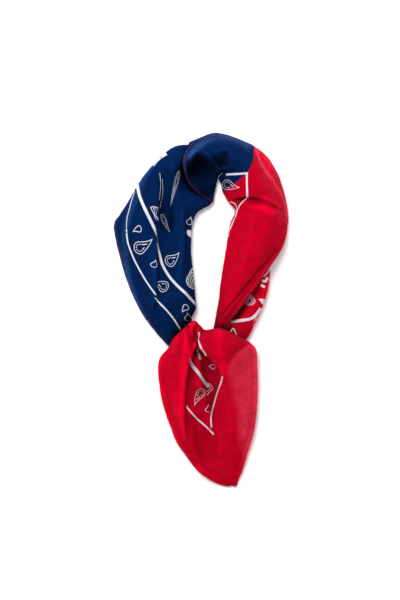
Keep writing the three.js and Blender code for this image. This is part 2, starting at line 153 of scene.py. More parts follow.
CROWN_FOLDS = [
    (7, 1.6, 4.4, [(223, 179), (218, 171), (212.5, 163.5), (206, 157.5), (198, 155.5), (190, 161)], -2.4),
    (9, 9, -5.6, [(190, 158), (200, 168), (208, 180), (212, 200)]),
    (2.5, 2.5, 1.4, [(184, 166), (187, 184), (197, 195), (208, 201)]),
    (3.5, 3.5, -3.6, [(224, 152), (224.5, 160), (223, 169)]),
    (3.5, 3.5, 1.4, [(193, 152), (212, 146), (230, 148), (246, 155)]),
    (1.8, 1.8, -2.4, [(215, 176.5), (220, 174), (228, 172.5), (238, 172.5)]),
    (1.3, 2.6, -2.2, [(228, 202), (238, 200.5), (248, 200), (258, 201.5), (270, 206), (284, 214)]),
    (4, 4, 1.4, [(236, 206), (250, 208), (266, 213), (278, 222)]),
    (4, 1.1, 2.8, [(249, 198), (243, 204), (239.5, 211), (237, 219), (232, 229), (227, 240)], -1.2),
    (1, 1.1, -1.7, [(279, 243), (268, 258.5), (256, 273), (243, 289), (229, 306.5), (213, 327)]),
    (6, 4, 1.2, [(272, 247), (260, 263), (248, 278), (235, 294), (216, 316)]),
    (2, 4, 1, [(222, 329), (236, 311), (248, 294), (256, 283), (266, 270), (274, 260)], 0.6),
    (3, 3, 1.5, [(261, 152), (270, 170), (276, 188), (281, 204)]),
    (4, 4, -1.5, [(256, 156), (263, 172), (268, 190)]),
    (2.5, 4, 1.6, [(284, 228), (279, 240), (274, 251)]),
    (7, 7, -1.8, [(240, 215), (236, 240), (232, 270), (224, 300)]),
    (6, 6, 1.2, [(262, 212), (262, 235), (252, 262)]),
    (4, 4, 1.1, [(252, 214), (250, 234), (244, 256), (236, 280)]),
]
UNDER_FOLDS = [
    (5, 2.2, -3.4, [(258, 282), (255, 290), (249, 299), (240, 309), (228, 321)]),
    (1.5, 1.5, 1.2, [(268, 280), (263, 296), (256, 316), (248, 335)]),
    (2, 2, -0.9, [(262, 300), (256, 322), (246, 338)]),
]
TAIL_FOLDS = [
    (1.5, 9, 5, [(197, 326), (194.5, 338), (190, 352), (186.5, 366), (184, 384), (183, 404), (184, 428),
     (188, 450)], 0.8),
    (7, 1.2, 3, [(186, 347), (193, 346.5), (200, 349), (207, 354), (214, 360), (220, 368), (224, 382)],
     -0.4),
    (6, 6, 4.2, [(200, 322), (200, 336), (199, 352)]),
    (6, 6, 5.4, [(197, 348), (198, 362), (199, 376), (200, 394)]),
    (1.5, 1.5, -2.4, [(196, 324), (194.3, 332), (191.6, 343)]),
    (1.6, 1.8, -3.2, [(187.5, 319), (188.2, 330), (189.2, 341), (189.6, 351)]),
    (1.3, 2.4, -1.1, [(198, 345), (204, 354), (207.5, 364), (208.5, 378)]),
    (3.2, 1.6, -2, [(207, 370), (208, 380), (208.5, 392), (210, 412), (214, 434), (217, 458)]),
    (6, 1.5, 2, [(224, 372), (219, 390), (214, 404), (211, 416), (211, 428), (216, 445), (220, 462)]),
    (3.5, 3.5, -0.8, [(251, 342), (240, 348.5), (232, 356), (228, 366)]),
    (4, 4, -1.3, [(228, 378), (232, 395), (235, 412), (236, 430), (234, 448)]),
    (8, 8, -3.5, [(194, 410), (201, 438), (209, 470)]),
    (2.5, 2.5, 1.6, [(196, 463), (206, 474), (222, 481)]),
    (4, 4, 1, [(170, 352), (172, 372), (175, 395), (182, 425)]),
    (5, 5, 1, [(246, 356), (249, 385), (247, 420), (239, 455)]),
    (3, 3, -1.4, [(163, 362), (165, 385), (172, 412), (184, 440)]),
    (2.5, 2.5, 1.3, [(178, 333), (176, 345), (172, 356)]),
    (2.2, 2.2, -1.6, [(186, 328), (183, 345), (179, 360)]),
]

# Printed lines: wide is the ink's width in pixels, line its run, from_x and to_x where it begins
# and ends to show, if a fold hides some of it.
INK_COLUMNS = ("wide", "line", "from_x", "to_x")
LEFT_INK = [
    (2.8, [(138, 184), (139.5, 194), (143, 204), (147.5, 214), (152.5, 225), (158, 240)], 0, 156),
    (2.5, [(154.5, 236), (157, 246), (160, 256), (163, 266), (169, 276), (177, 285), (186, 294),
     (196, 305)], 156, 999),
    (0.6, [(135.5, 192), (132, 202), (129.5, 212), (127.5, 221), (127, 232)]),
    (1.4, [(127, 230), (127.6, 237), (129, 244), (134, 258), (140, 270), (147, 282), (153, 291),
     (158, 298)], 0, 155.5),
    (1.5, [(154, 297), (162, 305), (170, 314), (176, 322), (182, 332)], 155, 999),
    (0.4, [(160, 174), (161, 188), (159.5, 201)]),
    (0.3, [(162.5, 180), (163.5, 192), (160.5, 208)]),
    (0.8, [(150.5, 208), (154.5, 207.5), (158.5, 209)], 0, 158.5),
    (0.8, [(151, 208), (154.5, 215), (158.5, 219.5)], 0, 158.5),
    (1.3, [(154, 167), (157.5, 162.5), (162, 158.5)]),
    (2.9, [(161.5, 158.2), (164, 156.4), (167, 155)]),
]
CROWN_INK = [
    (1.9, [(226, 175.6), (236, 175.4), (247.4, 174.8)]),
    (1.8, [(246.3, 174), (246.4, 186), (247, 199)]),
    (1.2, [(247.5, 198), (243, 204), (240, 209.5), (237.5, 217), (233, 227), (228.5, 237)]),
    (0.8, [(230, 202), (234.5, 204), (237, 208), (236, 212), (234, 215)]),
    (0.8, [(217, 181), (218.5, 177), (221, 174.5)]),
]
UNDER_INK = [
    (2.8, [(230, 322), (236, 321), (243, 320), (250, 318.5), (255.5, 314.5), (260, 308)]),
    (1.2, [(263, 277), (267, 273), (270, 267)]),
    (2.4, [(261.5, 280.5), (264.5, 281.5), (267, 277.5)]),
    (2.4, [(260.5, 285), (264, 287)]),
    (2.6, [(229.5, 322.5), (225.5, 330)]),
    (1, [(230, 334), (233, 328), (236.5, 335)]),
]
TAIL_INK = [
    (1.6, [(197.2, 331.5), (199, 338), (202.5, 345.5), (207.3, 354)]),
    (2.6, [(196.8, 347.5), (198.2, 352), (200.4, 358)], 0, 204),
    (3, [(186, 356), (189, 360.5), (193, 366.5), (199, 374), (204, 381), (208.5, 386.5)], 188, 208.5),
    (1.5, [(182, 401), (186.5, 406), (191, 411.5), (198, 419), (207, 427), (214, 434)], 186, 213.5),
    (1.4, [(223, 375), (221.5, 381), (218, 391), (215, 402), (212, 412), (211, 419), (211.5, 427)]),
]

# Paisley motifs of the print. kind: 1 small outlined drop, 2 medium with a dashed ring, 3 large and
# dotted, 4 small and solid. x, y: its middle. long, wide: its size on the photograph, in pixels.
# tip: the way its tip points, in degrees from the page's right. from_x, to_x: as for lines.
MOTIF_COLUMNS = ("kind", "x", "y", "long", "wide", "tip", "from_x", "to_x")
LEFT_MOTIFS = [
    (1, 137.5, 230, 10, 7.5, 192),
    (2, 144, 246.5, 19.5, 13, 24),
    (1, 154, 264, 8, 7, 60, 0, 156.5),
    (2, 161, 285, 16, 11.5, 148, 156.5, 999),
    (1, 184.5, 308.5, 9, 7, 222),
    (1, 188, 316.5, 9, 7.5, 80),
    (2, 157.5, 214, 14, 8, 110, 0, 158.5),
    (2, 165.5, 224, 20, 5, -68),
    (3, 174.5, 189, 36, 4.6, -105),
    (2, 173.5, 259.5, 17, 12, 30, 158, 999),
    (1, 190, 221, 9, 6.5, 60),
    (4, 190.5, 235.5, 12, 5, -62),
    (3, 197, 274, 32, 21, 84),
]
CROWN_MOTIFS = [
    (2, 230.5, 187, 18, 10, -25),
    (1, 235, 217.5, 7, 5, 70),
]
UNDER_MOTIFS = [
    (1, 255, 321, 10, 5, 75, 253, 999),
    (3, 249, 298, 15, 11, 100),
    (4, 261.5, 300.5, 8, 5.5, 140),
]
TAIL_MOTIFS = [
    (2, 198, 396, 19, 9.5, 234, 0, 206),
    (2, 206, 390, 15, 12, 250, 206.5, 999),
    (1, 208.5, 408, 8, 7, 80, 0, 209),
    (1, 212, 365.5, 7, 6, 165),
]

# Where the navy half meets the red half, on the crown of the loop; navy is on the page's left.
DYE_LINE = [(255, 140), (253.5, 149), (252.5, 160), (250, 168), (246, 174.5), (235, 184), (222, 193),
            (214, 199)]
# Painted highlights, to the left of a line: the dye is painted lighter where folds and edges catch
# the light and where light comes through a single layer over a pale one. How far it shows, how many
# mm wide, how soft its edges are at the line's start and at its end, and the line.
TAIL_PAINTED_HIGHLIGHTS = [
    (1, 99, 1.5, 11, [(262, 335), (252, 341), (241, 348), (232, 356), (226, 368), (227, 388), (232, 410),
     (234, 432), (243, 474)]),
]
LEFT_PAINTED_HIGHLIGHTS = [
    (0.8, 9, 4, 4, [(151, 156), (140, 178), (132, 197), (125, 214), (120, 236), (122, 262)]),
    (0.7, 8, 4, 4, [(121, 256), (127, 284), (137, 312), (151, 336)]),
]
CROWN_PAINTED_HIGHLIGHTS = [
    (1.6, 3.6, 1.2, 1.2, [(252, 144), (258.5, 165), (271.5, 185), (282, 205), (285, 222)]),
    (0.9, 11, 5, 5, [(256, 148), (246, 139), (230, 134), (210, 135), (190, 149), (183, 164)]),
    (0.35, 99, 9, 9, [(246, 140), (250, 160), (258, 182), (268, 204), (276, 230)]),
]


def rows_of(table, columns, **left_out):
    """The rows of a table by the names of its columns, with values for those left out."""
    return [{**left_out, **dict(zip(columns, row))} for row in table]


def from_pixel(p):
    return ((p[0] - ORIGIN_PIXEL[0]) * MM_PER_PIXEL, (ORIGIN_PIXEL[1] - p[1]) * MM_PER_PIXEL)


def smoothstep(x, low, high):
    t = np.clip((x - low) / (high - low), 0, 1)
    return t * t * (3 - 2 * t)


def rows_between(table, step):
    """The rows of a table with smooth rows set between them, about one for each step of length."""
    rows = np.array([row + (0,) * (len(COLUMNS) - len(row)) for row in table], float)
    middles = (rows[:, 0:2] + rows[:, 2:4]) / 2
    length = norm(np.diff(middles, axis=0), axis=1).sum()
    t = np.linspace(0, len(rows) - 1, int(round(length / step)) + 1)
    i = np.minimum(t.astype(int), len(rows) - 2)
    f = (t - i)[:, None]
    p, q, r, s = (rows[np.clip(i + k, 0, len(rows) - 1)] for k in (-1, 0, 1, 2))
    return q + 0.5 * f * (r - p + f * (2 * p - 5 * q + 4 * r - s + f * (3 * (q - r) + s - p)))


def guide_points(row):
    """Nine points of a cross section, from the end tucked under edge a to the one under edge b."""
    r = dict(zip(COLUMNS, row))
    a, b = np.array([r["ax"], r["ay"]]), np.array([r["bx"], r["by"]])
    width = norm(b - a)
    across = (b - a) / width
    forward = np.array([-across[1], across[0]])

    def place(s, z, lift=0.0):
        """The point this far from edge a along the section, at a height."""
        w = min(1.0, max(0.0, s / width))
        p = a + across * s + forward * (r["bow"] * 4 * w * (1 - w) + lift)
        return (p[0], p[1], max(z, REST))

    def along(number, lift=0.0):
        return place(r["at" + number] / 100 * width, r["high" + number], lift)

    def tuck_height(tuck, high):
        on_surface = smoothstep(tuck, 2.5, 6)
        curled = high - CURL * min(1.0, max(0.0, tuck / 2))
        return max(REST, curled + (REST - curled) * on_surface)

    under, over = tuck_height(r["tuckA"], r["highA"]), tuck_height(r["tuckB"], r["highB"])
    return np.array([
        place(r["tuckA"], under), place(r["tuckA"] * 0.45, under), place(0, r["highA"]),
        along("1", r["lift1"]), along("2"), along("3", r["lift3"]), place(width, r["highB"]),
        place(width - r["tuckB"] * 0.45, over), place(width - r["tuckB"], over)])


def curve_through(points, each):
    """A centripetal curve through guide points, each span of it in equal parts."""
    ends = np.vstack([2 * points[0] - points[1], points, 2 * points[-1] - points[-2]])
    out = []
    f = np.linspace(0, 1, each, endpoint=False)[:, None]
    for p0, p1, p2, p3 in zip(ends, ends[1:], ends[2:], ends[3:]):
        pairs = ((p0, p1), (p1, p2), (p2, p3))
        d0, d1, d2 = (max(1e-4, norm(b - a)) ** 0.5 for a, b in pairs)
        m1 = ((p1 - p0) / d0 - (p2 - p0) / (d0 + d1) + (p2 - p1) / d1) * d1
        m2 = ((p2 - p1) / d1 - (p3 - p1) / (d1 + d2) + (p3 - p2) / d2) * d1
        out.append(p1 + m1 * f + (3 * (p2 - p1) - 2 * m1 - m2) * f ** 2
                   + (2 * (p1 - p2) + m1 + m2) * f ** 3)
    return np.vstack(out + [points[-1:]])


def lengths_along(line):
    return np.concatenate([[0], np.cumsum(norm(np.diff(line, axis=0), axis=1))])


def equal_parts(line, count):
    arc = lengths_along(line)
    s = np.linspace(0, arc[-1], count + 1)
    return np.column_stack([np.interp(s, arc, line[:, k]) for k in range(line.shape[1])])


def normals_of(grid):
    along, across = np.gradient(grid, axis=0), np.gradient(grid, axis=1)
    n = np.cross(across, along)
    return n / np.maximum(1e-9, norm(n, axis=2, keepdims=True))


def cloth_grid(table):
    """Points on the middle of the cloth, [ring, place across], and the columns of edges a and b."""
    each = 14
    curves = [curve_through(guide_points(row), each) for row in rows_between(table, STEP)]
    parts = [(0, 2 * each), (2 * each, 6 * each), (6 * each, 8 * each)]
    counts = [max(2, int(round(np.mean([lengths_along(c[i:j + 1])[-1] for c in curves]) / STEP)))
              for i, j in parts]
    rings = []
    for c in curves:
        cut = [equal_parts(c[i:j + 1], n) for (i, j), n in zip(parts, counts)]
        rings.append(np.vstack([cut[0], cut[1][1:], cut[2][1:]]))
    grid = np.array(rings)
    grid[:, :, 2] = np.maximum(grid[:, :, 2], REST)
    edge_a, edge_b = counts[0], counts[0] + counts[1]
    turned = normals_of(grid)[len(grid) // 2, (edge_a + edge_b) // 2, 2] < 0
    return (grid[::-1] if turned else grid), edge_a, edge_b, turned


def even_line(points, step=1.5):
    """A smooth line through places on the photograph, in millimetres."""
    flat = np.array([from_pixel(p) for p in points])
    line = curve_through(flat, 10) if len(flat) > 2 else flat
    return equal_parts(line, max(2, int(lengths_along(line)[-1] / step)))


def line_distance(xy, line):
    """How far each point lies from a line, above 0 on its left, how far along it, and the way to
    the left there. The line's ends run straight on."""
    far = 40.0
    first, last = line[0] - line[1], line[-1] - line[-2]
    line = np.vstack([line[0] + first * far / norm(first), line,
                      line[-1] + last * far / norm(last)])
    arc = lengths_along(line) - far
    best = np.full(len(xy), 1e9)
    side, where, left = np.zeros(len(xy)), np.zeros(len(xy)), np.zeros((len(xy), 2))
    for k, (a, b) in enumerate(zip(line, line[1:])):
        d = b - a
        t = np.clip(((xy - a) @ d) / (d @ d), 0, 1)
        off = xy - (a + t[:, None] * d)
        dist = np.hypot(off[:, 0], off[:, 1])
        near = dist < best
        best[near] = dist[near]
        side[near] = np.sign(d[0] * off[near, 1] - d[1] * off[near, 0])
        where[near] = arc[k] + t[near] * (arc[k + 1] - arc[k])
        left[near] = np.array([-d[1], d[0]]) / norm(d)
    return best * np.where(side < 0, -1, 1), where, left, arc[-2]


def lay_folds(grid, normals, flat, folds, edge_a, edge_b):
    """Moves the cloth out, in and over along its folds; its turned edges stay where they are."""
    xy = flat.reshape(-1, 2)
    rise, shift = np.zeros(len(xy)), np.zeros((len(xy), 3))
    for f in rows_of(folds, FOLD_COLUMNS, lean=0):
        s, where, left, length = line_distance(xy, even_line(f["line"]))
        reach = np.where(s > 0, f["left"], f["right"])
        fade = 0.2 * length
        ends = smoothstep(where, 0, fade) * smoothstep(length - where, 0, fade)
        rise += f["high"] * np.exp(-(s / reach) ** 2) * ends
        lean = np.exp(-(s / np.maximum(reach, 1.6) / 1.3) ** 2) * ends
        shift[:, :2] += f["lean"] * lean[:, None] * left
    column, held = np.arange(grid.shape[1]), 4
    hold = smoothstep(column, edge_a, edge_a + held) * smoothstep(-column, -edge_b, -edge_b + held)
    # A fold rises between the cloth's own way out and straight up.
    lift = normals * 0.35 + np.array([0, 0, 0.65])
    lift /= norm(lift, axis=2, keepdims=True)
    moved = lift * rise.reshape(grid.shape[:2])[:, :, None] + shift.reshape(grid.shape)
    return grid + moved * hold[None, :, None]


def crumple(grid, normals, seed):
    """Small uneven waves, as thin cotton has after it has been rolled and tied."""
    out = grid.copy()
    for j in range(grid.shape[0]):
        for i in range(grid.shape[1]):
            p = Vector(grid[j, i]) * 0.045 + Vector((seed, 0, 0))
            q = Vector((p.x * 0.6 + p.y * 0.5, p.y * 2.2 - p.x, p.z)) * 1.9
            out[j, i] += normals[j, i] * CRUMPLE * (0.6 * noise.noise(p) + 0.4 * noise.noise(q))
    return out


def unrolled(grid, edge_a, edge_b):
    """Where the print lies on each point: its place on the page, and past the edges, where the
    cloth turns under, on from the edge by the length of cloth."""
    flat = grid[:, :, :2].copy()
    for edge, inner, columns in ((edge_a, edge_a + 4, range(edge_a - 1, -1, -1)),
                                 (edge_b, edge_b - 4, range(edge_b + 1, grid.shape[1]))):
        out = flat[:, edge] - flat[:, inner]
        out /= np.maximum(1e-6, norm(out, axis=1, keepdims=True))
        run = np.zeros(len(grid))
        last = edge
        for c in columns:
            run = run + norm(grid[:, c] - grid[:, last], axis=1)
            flat[:, c] = flat[:, edge] + out * run[:, None]
            last = c
    return flat


def steps(grid, axis):
    """How far each point lies from the one before it on its ring, or on the ring before."""
    first = grid[:, :1] if axis else grid[:1]
    return norm(np.diff(grid, axis=axis, prepend=first), axis=2)


def surface_run(grid):
    """Lengths of cloth across and along, for the weave."""
    across = np.cumsum(steps(grid, 1), axis=1)
    along = np.cumsum(steps(grid, 0).mean(axis=1))
    middle = across[:, across.shape[1] // 2][:, None]
    return np.stack([across - middle, np.broadcast_to(along[:, None], across.shape)], axis=2)


def grid_faces(rings, count):
    return [(j * count + i, j * count + i + 1, (j + 1) * count + i + 1, (j + 1) * count + i)
            for j in range(rings - 1) for i in range(count - 1)]


def tree_of(grid):
    return BVHTree.FromPolygons(grid.reshape(-1, 3).tolist(), grid_faces(*grid.shape[:2]))


def cloth_under(tree, x, y):
    """The point of the cloth straight under a place, or None."""
    return tree.ray_cast(Vector((x, y, HIGH)), Vector((0, 0, -1)))[0]


def settle_under(grid, cover):
    """Lowers cloth that lies under another stretch to just below it."""
    out = grid.copy()
    for p in out.reshape(-1, 3):
        hit = cloth_under(cover, p[0], p[1])
        if hit is not None and p[2] > hit.z - LAYER_GAP:
            p[2] = max(THICK / 2, hit.z - LAYER_GAP)
    return out


def raise_hem(grid, normals, edges, edge_a, edge_b, mouth):
    """A turned hem: the cloth is two layers thicker along it, with a groove at its stitched side."""
    seen = grid[:, :, :2]
    across, along = np.cumsum(steps(seen, 1), axis=1), np.cumsum(steps(seen, 0), axis=0)
    rise = np.zeros(grid.shape[:2])
    for edge, first, last in edges:
        if edge == "mouth":
            inward = np.abs(along - along[mouth])
        else:
            column = edge_a if edge == "a" else edge_b
            inward = (across - across[:, column:column + 1]) * (1 if edge == "a" else -1)
        band = smoothstep(inward, -3, -2) * (1 - smoothstep(inward, HEM - 0.6, HEM + 0.3))
        groove = np.exp(-((inward - HEM - 0.4) / 0.7) ** 2)
        ring = np.linspace(0, 1, len(grid))
        ends = smoothstep(ring, first - 0.02, first) * (1 - smoothstep(ring, last, last + 0.02))
        hemmed = (HEM_RISE * band - HEM_GROOVE * groove) * ends[:, None]
        rise = np.where(np.abs(hemmed) > np.abs(rise), hemmed, rise)
    return grid + normals * rise[:, :, None]


def placed(name, data):
    """A new object in the scene for a mesh, a lamp or a camera."""
    thing = bpy.data.objects.new(name, data)
    bpy.context.collection.objects.link(thing)
    return thing


def mark_corners(mesh, name, vectors):
    mesh.attributes.new(name, "FLOAT_VECTOR", "CORNER").data.foreach_set("vector", vectors.ravel())


def mark_points(mesh, name, values):
    mesh.attributes.new(name, "FLOAT", "POINT").data.foreach_set("value", np.ravel(values))


def mark_print(mesh, faces, xy, ink, motifs, dye):
    """Gives each corner of the cloth its place on the nearest printed line and motif, and its
    distance from the line where the dyes meet."""
    away = 9.0
    corners = np.array(faces)
    middles = xy[corners].mean(axis=1)

    def shown(row):
        low, high = (from_pixel((row[key], 0))[0] for key in ("from_x", "to_x"))
        return (middles[:, 0] > low) & (middles[:, 0] < high)

    side = np.full(corners.shape, away)
    ends = np.full(corners.shape, -away)
    nearest = np.full(len(faces), away)
    for s in rows_of(ink, INK_COLUMNS, from_x=0, to_x=PAGE[0]):
        gap, where, _, length = line_distance(xy, even_line(s["line"], 1.0))
        half = s["wide"] * MM_PER_PIXEL / 2
        ratio = np.abs(gap[corners].mean(axis=1)) / half
        along = where[corners].mean(axis=1)
        mine = (ratio < nearest) & shown(s) & (along > -0.9) & (along < length + 0.9)
        nearest[mine] = ratio[mine]
        side[mine] = gap[corners[mine]] / half
        ends[mine] = np.minimum(where[corners[mine]], length - where[corners[mine]])
    if dye is None:
        dyed = line_distance(xy, even_line(DYE_LINE))[0]
    else:
        dyed = np.full(len(xy), away if dye == "red" else -away)
    mark_corners(mesh, "print_lines", np.dstack([side, ends, np.clip(dyed, -away, away)[corners]]))

    local = np.full((len(faces), 4, 3), (away, away, 0.0))
    nearest = np.full(len(faces), 1.5)
    for m in rows_of(motifs, MOTIF_COLUMNS, from_x=0, to_x=PAGE[0]):
        centre = np.array(from_pixel((m["x"], m["y"])))
        turn = math.radians(m["tip"])
        axes = np.array([(-math.sin(turn), math.cos(turn)), (math.cos(turn), math.sin(turn))])
        half = np.array([m["wide"] / 1.1, m["long"] / 2]) * MM_PER_PIXEL
        at = ((middles - centre) @ axes.T) / half
        gap = np.hypot(at[:, 0] * 1.2, at[:, 1])
        mine = (gap < nearest) & shown(m)
        nearest[mine] = gap[mine]
        local[mine, :, :2] = ((xy[corners[mine]] - centre) @ axes.T) / half
        local[mine, :, 2] = m["kind"]
    mark_corners(mesh, "print_motif", local)


def hemisphere(count):
    """Evenly spread directions above a level surface, most of them steep."""
    k = np.arange(count) + 0.5
    high = np.sqrt(1 - k / count * 0.97)
    flat = np.sqrt(1 - high ** 2)
    turn = k * math.pi * (3 - math.sqrt(5))
    return np.column_stack([flat * np.cos(turn), flat * np.sin(turn), high])


def spread(values, times):
    """Values on a grid, each evened out with its neighbours."""
    for _ in range(times):
        padded = np.pad(values, 1, mode="edge")
        beside = padded[:-2, 1:-1] + padded[2:, 1:-1] + padded[1:-1, :-2] + padded[1:-1, 2:]
        values = (beside + 2 * values) / 6
    return values


def depth_in_folds(cloth, everything):
    """How enclosed each point of the cloth is, 0 in the open to 1 in the depth of a fold, and how
    much it stands out as a ridge. The first sets the painted shade in the folds, the second the
    painted highlight on the ridges."""
    grid = cloth["grid"]
    normals = normals_of(grid)
    points, ups = grid.reshape(-1, 3), normals.reshape(-1, 3)
    rays, reach, clear = hemisphere(28), 40.0, 0.5
    deep = np.zeros(len(points))
    for k, (p, n) in enumerate(zip(points, ups)):
        up = Vector(n)
        turn = up.to_track_quat("Z", "Y")
        start = Vector(p) + up * clear
        hits = [everything.ray_cast(start, turn @ Vector(ray), reach)[0] for ray in rays]
        deep[k] = sum(hit is not None for hit in hits)
    deep = spread((deep / len(rays)).reshape(grid.shape[:2]), 2)
    level = np.dstack([spread(grid[:, :, k], 14) for k in range(3)])
    proud = np.sum((grid - level) * normals, axis=2)
    return deep, spread(smoothstep(proud, 0.08, 0.75), 1)


def lay_cloth(name, table, folds, hems, seed, covers):
    """The cloth of a stretch, folded and creased, under what lies over it."""
    grid, edge_a, edge_b, turned = cloth_grid(table)
    if turned:
        hems = [(edge, 1 - last, 1 - first) for edge, first, last in hems]
    mouth = -1 if turned else 0
    normals = normals_of(grid)
    flat, weave = unrolled(grid, edge_a, edge_b), surface_run(grid)
    shaped = lay_folds(grid + normals * OUT, normals, flat, folds, edge_a, edge_b)
    shaped = crumple(shaped, normals, seed)
    shaped = raise_hem(shaped, normals, hems, edge_a, edge_b, mouth)
    shaped[:, :, 2] = np.maximum(shaped[:, :, 2], THICK / 2)
    for cover in covers:
        shaped = settle_under(shaped, cover)
    return {"name": name, "grid": shaped, "flat": flat, "weave": weave, "tree": tree_of(shaped),
            "edges": (edge_a, edge_b), "turned": turned}


def sew(cloth, stretch, deep, ridge):
    """Makes a stretch's mesh: a thin double face with its print and weave marked on it."""
    rings, count = cloth["grid"].shape[:2]
    faces = grid_faces(rings, count)
    mesh = bpy.data.meshes.new(cloth["name"])
    mesh.from_pydata((cloth["grid"].reshape(-1, 3) * MM).tolist(), [], faces)
    piece = placed(cloth["name"], mesh)
    at_corners = cloth["weave"].reshape(-1, 2)[np.array(faces).ravel()]
    mesh.uv_layers.new(name="weave").data.foreach_set("uv", at_corners.ravel())
    xy = cloth["flat"].reshape(-1, 2)
    mark_print(mesh, faces, xy, stretch["ink"], stretch["motifs"], stretch["dye"])
    # Painted highlight: how far the dye is painted lighter beside each line of the stretch's highlight
    # table.
    thin = np.zeros(len(xy))
    for shows, wide, soft_start, soft_end, line in stretch["painted_highlight"]:
        inward, where, _, length = line_distance(xy, even_line(line))
        soft = soft_start + (soft_end - soft_start) * smoothstep(where, 0.2 * length, 0.45 * length)
        ends = smoothstep(where, 0, 6) * smoothstep(length - where, 0, 6)
        sides = smoothstep(inward, -0.6, soft) * smoothstep(wide - inward, 0, soft)
        thin = np.maximum(thin, shows * ends * sides)
    for name, values in (("painted_highlight", thin), ("depth_in_folds", deep), ("ridge", ridge)):
        mark_points(mesh, name, values)
    mesh.shade_smooth()
    thick = piece.modifiers.new("cloth", "SOLIDIFY")
    thick.thickness = THICK * MM
    thick.offset = 0
    return piece


def linear(hex_colour):
    """An sRGB colour as the linear values that shaders take."""
    parts = [int(hex_colour[i:i + 2], 16) / 255 for i in (1, 3, 5)]
    return [c / 12.92 if c <= 0.04045 else ((c + 0.055) / 1.055) ** 2.4 for c in parts] + [1]


def add(tree, kind, *inputs, **settings):
    """A shader node with its settings, and what goes in its sockets in order: a value, a link or
    None."""
    node = tree.nodes.new("ShaderNode" + kind)
    for key, value in settings.items():
        setattr(node, key, value)
    for socket, given in zip(node.inputs, inputs):
        if isinstance(given, bpy.types.NodeSocket):
            tree.links.new(given, socket)
        elif given is not None:
            socket.default_value = given
    return node


def scaled(tree, colour, shade):
    """A colour made darker or paler."""
    return add(tree, "VectorMath", colour, None, None, shade, operation="SCALE").outputs[0]


def new_material(name, looks):
    """A material, its nodes and its shader, with values for some of the shader's sockets."""
    material = bpy.data.materials.new(name)
    material.use_nodes = True
    shader = material.node_tree.nodes["Principled BSDF"]
    for socket, value in looks.items():
        shader.inputs[socket].default_value = value
    return material, material.node_tree, shader


def thread_grain(tree, size, detail, dark, light):
    """Fine noise, and the shade that it gives to a dye."""
    place = add(tree, "TexCoord").outputs["Object"]
    grain = add(tree, "TexNoise", place, None, size, detail).outputs[0]
    return grain, add(tree, "MapRange", grain, 0.3, 0.7, dark, light).outputs[0]


# The lighter copies of each dye are painted highlights, mixed in where the cloth catches the light.
NAVY, PAINTED_LIGHT_NAVY = "#021c46", "#24467a"
RED, PAINTED_LIGHT_RED = "#b20020", "#d8324c"
INK_WHITE = "#dedde3"
THREAD_RED = "#a52440"
MATT = {"Roughness": 0.95, "Specular IOR Level": 0.02}


